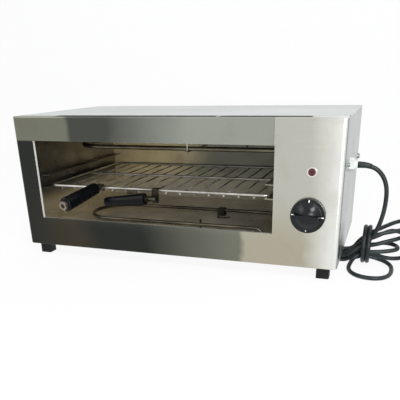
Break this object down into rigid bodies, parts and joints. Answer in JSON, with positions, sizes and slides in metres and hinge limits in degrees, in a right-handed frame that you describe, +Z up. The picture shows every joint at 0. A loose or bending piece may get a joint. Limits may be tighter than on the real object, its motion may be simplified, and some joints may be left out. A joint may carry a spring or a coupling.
{
  "type": "cheese melter",
  "caption": "Counter-top cheese melter: open stainless cabinet with upper and lower hairpin heating elements, a sliding wire rack with folding handles, a rotary knob and a pilot lamp.",
  "frame": {"origin": "centre of the cabinet's footprint, on the surface that its feet stand on", "axes": "+X towards the control panel side (right as seen from the front), +Y to the back, +Z up"},
  "size_m": [0.813, 0.4078, 0.262],
  "materials": {
    "brushed_stainless": "brushed",
    "bright_stainless": "bright, heat tinted",
    "zinc_steel": "zinc plated",
    "rack_chrome": "plated wire",
    "element_sheath": "oxidised tube",
    "black_bakelite": "moulded, glossy",
    "marking_white": "moulded",
    "lamp_red": "clear moulded",
    "lamp_white": "moulded",
    "nylon_grey": "moulded",
    "switch_black": "moulded",
    "steatite": "fired, matt",
    "cord_rubber": "extruded, satin",
    "foot_rubber": "moulded"
  },
  "bodies": {
    "cabinet": {"front_fascia": "brushed_stainless", "left_side_panel": "brushed_stainless", "right_side_panel": "brushed_stainless", "top_cover": "brushed_stainless", "base_pan": "brushed_stainless", "rear_cover": "brushed_stainless", "cavity_left_wall": "bright_stainless", "cavity_right_wall": "bright_stainless", "cavity_back_wall": "bright_stainless", "cavity_roof": "bright_stainless", "cavity_floor": "bright_stainless", "cavity_bracket_left": "zinc_steel", "cavity_bracket_right": "zinc_steel", "rack_runner_left": "bright_stainless", "rack_runner_right": "bright_stainless", "element_upper": "element_sheath", "element_lower": "element_sheath", "element_terminals": "steatite", "upper_hanger": "bright_stainless", "roof_screw": "zinc_steel", "lower_clip": "zinc_steel", "lower_clip_wire": "zinc_steel", "locating_pin": "zinc_steel", "rotary_switch_body": "switch_black", "pilot_lens": "lamp_red", "pilot_bezel": "rack_chrome", "pilot_body": "lamp_white", "terminal_block": "steatite", "earth_stud": "zinc_steel", "internal_wires": "cord_rubber", "cable_gland": "nylon_grey", "gland_locknut": "nylon_grey", "power_cord": "cord_rubber", "cord_loop": "cord_rubber", "cord_tail": "cord_rubber", "cord_hank": "cord_rubber", "cord_tie": "cord_rubber", "power_plug": "cord_rubber", "plug_pins": "rack_chrome", "rubber_feet": "foot_rubber", "foot_screws": "zinc_steel", "side_screws": "zinc_steel", "side_bolts": "zinc_steel", "rear_screws": "zinc_steel"},
    "knob": {"control_knob": "black_bakelite", "knob_marks": "marking_white", "switch_shaft": "zinc_steel"},
    "rack": {"rack_frame": "rack_chrome", "rack_mid_rail": "rack_chrome", "rack_cross_wires": "rack_chrome", "rack_tab": "rack_chrome", "handle_bracket_left": "zinc_steel", "handle_bracket_right": "zinc_steel", "handle_pins": "zinc_steel"},
    "handle_left": {"handle_left_rod": "zinc_steel", "handle_left_grip": "black_bakelite", "handle_left_nut": "rack_chrome"},
    "handle_right": {"handle_right_rod": "zinc_steel", "handle_right_grip": "black_bakelite", "handle_right_ferrule": "rack_chrome"}
  },
  "joints": [
    {"name": "knob_turn", "type": "hinge", "parent": "cabinet", "child": "knob", "pos_m": [0.248, -0.1281, 0.1114], "axis": [0, 1, 0], "range_deg": [0, 270]},
    {"name": "rack_slide", "type": "slide", "parent": "cabinet", "child": "rack", "axis": [0, -1, 0], "range_m": [0, 0.2]},
    {"name": "handle_left_swing", "type": "hinge", "parent": "rack", "child": "handle_left", "pos_m": [-0.1375, -0.1081, 0.139], "axis": [0, 0, 1], "range_deg": [-65, 11]},
    {"name": "handle_right_swing", "type": "hinge", "parent": "rack", "child": "handle_right", "pos_m": [-0.028, -0.1081, 0.1225], "axis": [0, 0, 1], "range_deg": [0, 88]}
  ]
}
